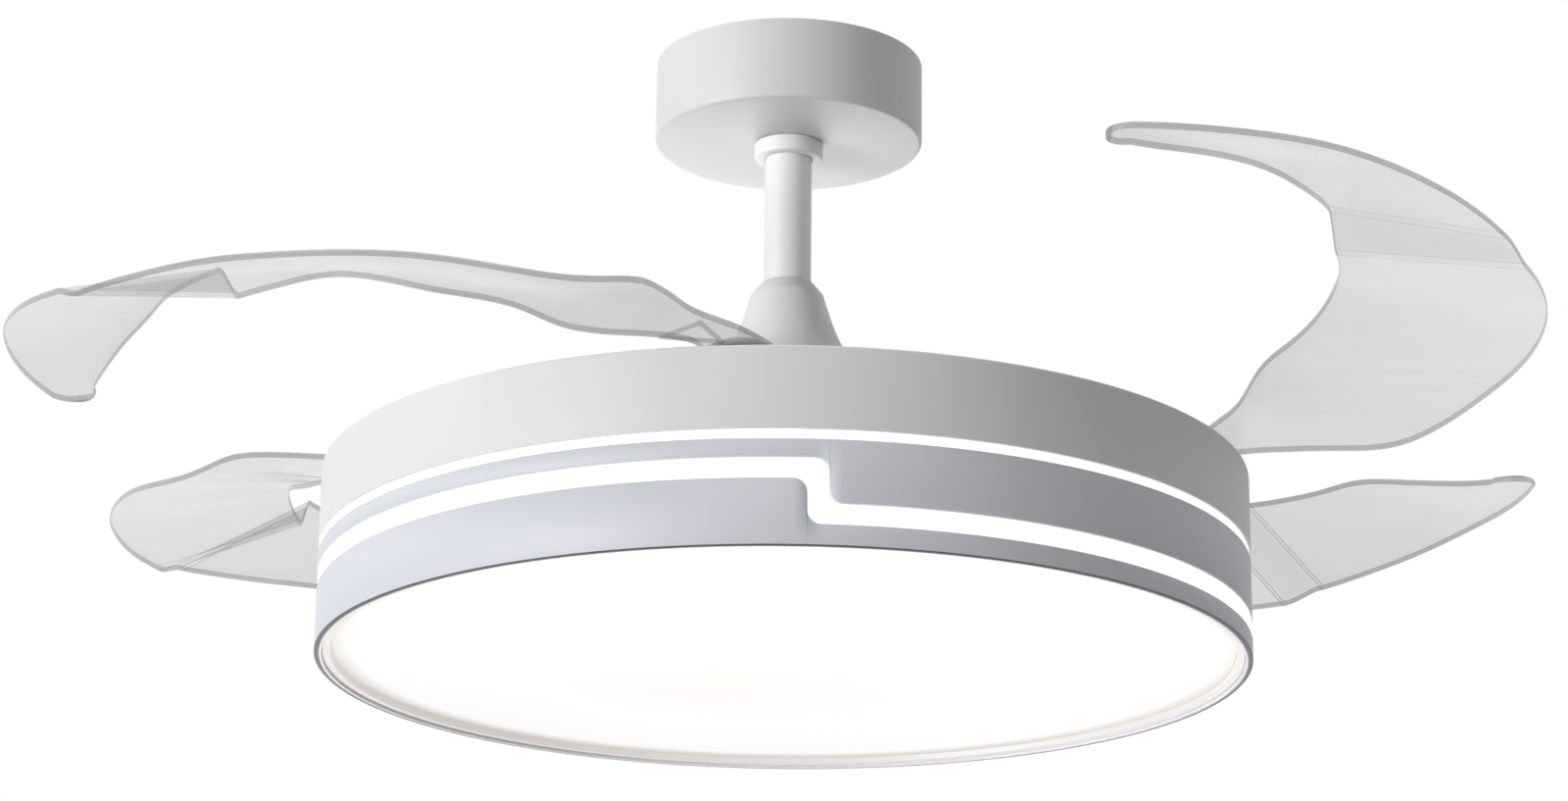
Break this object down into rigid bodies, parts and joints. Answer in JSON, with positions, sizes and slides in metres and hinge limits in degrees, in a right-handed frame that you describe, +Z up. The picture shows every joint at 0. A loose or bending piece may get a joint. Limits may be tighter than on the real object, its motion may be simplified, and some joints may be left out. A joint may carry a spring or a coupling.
{
  "type": "retractable blade ceiling fan",
  "caption": "Ceiling fan with clear swinging crescent blades that fold above a round LED lamp drum with a stepped light band, hung on a short downrod with a ceiling canopy.",
  "frame": {"origin": "middle of the ceiling bracket's top face, which lies on the ceiling", "axes": "+Z up out of the ceiling along the fan's turning axis; the front of the fan faces -Y, where the light band steps from high (at -X) to low (at +X)"},
  "size_m": [0.8415, 0.8662, 0.345],
  "materials": {
    "white_paint": "satin",
    "white_shell": "satin painted moulding",
    "silver_shell": "satin silver painted moulding",
    "white_aluminium": "white coated sheet",
    "opal": "opal diffuser, lit from inside",
    "clear_blade": "clear moulded plastic",
    "white_plastic": "moulded",
    "board_white": "matt",
    "black_plastic": "matt",
    "bright_steel": "turned",
    "zinc_steel": "zinc plated",
    "dark_steel": "dull",
    "cast_aluminium": "cast",
    "copper_wire": "enamelled wire"
  },
  "bodies": {
    "fixed": {"ceiling_bracket": "zinc_steel", "hanger_ball": "black_plastic", "hanger_pin": "bright_steel", "canopy": "white_paint", "canopy_collar": "white_paint", "collar_screw": "bright_steel", "downrod": "white_paint", "bell_cover": "white_paint", "coupling": "dark_steel", "rod_pin": "bright_steel", "shaft_pin": "bright_steel", "fixed_shaft": "bright_steel", "stator_core": "dark_steel", "winding_upper": "copper_wire", "winding_lower": "copper_wire", "shaft_nut": "bright_steel", "lamp_chassis": "white_aluminium", "lamp_frame": "white_shell", "drum_upper_ring": "white_shell", "thin_light_ring": "opal", "drum_middle_band": "silver_shell", "stepped_light_band": "opal", "drum_lower_band": "silver_shell", "bottom_diffuser": "opal", "reflector_pan": "white_aluminium", "led_board": "board_white", "side_led_strip": "board_white", "led_driver": "board_white", "receiver_box": "black_plastic"},
    "rotor": {"bearing_lower": "bright_steel", "bearing_upper": "bright_steel", "motor_housing_lower": "cast_aluminium", "motor_housing_upper": "cast_aluminium", "magnet_ring": "dark_steel", "blade_carrier": "white_aluminium", "rotor_cover": "white_shell", "pivot_post_1": "bright_steel", "pivot_post_2": "bright_steel", "pivot_post_3": "bright_steel", "pivot_post_4": "bright_steel", "return_spring_1": "bright_steel", "return_spring_2": "bright_steel", "return_spring_3": "bright_steel", "return_spring_4": "bright_steel"},
    "blade_arm_1": {"blade_1": "clear_blade", "blade_hub_1": "white_plastic", "blade_clamp_1": "white_plastic", "pivot_cap_1": "white_plastic"},
    "blade_arm_2": {"blade_2": "clear_blade", "blade_hub_2": "white_plastic", "blade_clamp_2": "white_plastic", "pivot_cap_2": "white_plastic"},
    "blade_arm_3": {"blade_3": "clear_blade", "blade_hub_3": "white_plastic", "blade_clamp_3": "white_plastic", "pivot_cap_3": "white_plastic"},
    "blade_arm_4": {"blade_4": "clear_blade", "blade_hub_4": "white_plastic", "blade_clamp_4": "white_plastic", "pivot_cap_4": "white_plastic"}
  },
  "joints": [
    {"name": "rotor_spin", "type": "hinge", "parent": "fixed", "child": "rotor", "pos_m": [0, 0, -0.22], "axis": [0, 0, 1], "continuous": true},
    {"name": "blade_swing_1", "type": "hinge", "parent": "rotor", "child": "blade_arm_1", "pos_m": [0.17441, -0.02358, -0.227], "axis": [0, 0, 1], "range_deg": [-86, 12]},
    {"name": "blade_swing_2", "type": "hinge", "parent": "rotor", "child": "blade_arm_2", "pos_m": [-0.02358, -0.17441, -0.227], "axis": [0, 0, 1], "range_deg": [-65, 33]},
    {"name": "blade_swing_3", "type": "hinge", "parent": "rotor", "child": "blade_arm_3", "pos_m": [-0.17441, 0.02358, -0.227], "axis": [0, 0, 1], "range_deg": [-92, 6]},
    {"name": "blade_swing_4", "type": "hinge", "parent": "rotor", "child": "blade_arm_4", "pos_m": [0.02358, 0.17441, -0.227], "axis": [0, 0, 1], "range_deg": [-83, 15]}
  ]
}
